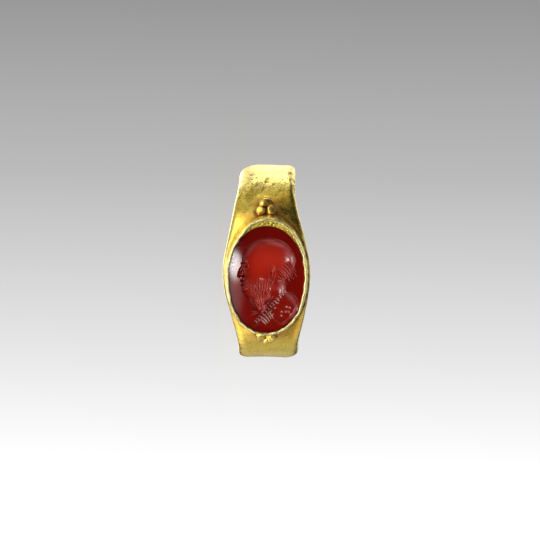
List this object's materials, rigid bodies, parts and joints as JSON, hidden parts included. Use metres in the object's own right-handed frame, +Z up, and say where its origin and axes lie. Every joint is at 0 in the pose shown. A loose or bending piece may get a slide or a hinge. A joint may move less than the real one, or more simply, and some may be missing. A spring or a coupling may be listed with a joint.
{
  "type": "finger ring with an engraved oval stone in a raised collar",
  "caption": "Gold finger ring with a tapering strap hoop, a raised oval collar set with an engraved red stone, and soldered globules on each shoulder.",
  "frame": {"origin": "on the surface that the ring lies on, under the middle of its box", "axes": "+Z up, about 6.7 degrees off the finger's axis; -Y the way the stone faces; -X towards the top of the engraved head"},
  "size_m": [0.022, 0.0236, 0.0098],
  "materials": {
    "gold": "worn satin gold",
    "carnelian": "polished, slightly translucent"
  },
  "bodies": {
    "root": {"gold_ring": "gold", "intaglio": "carnelian"}
  },
  "joints": []
}
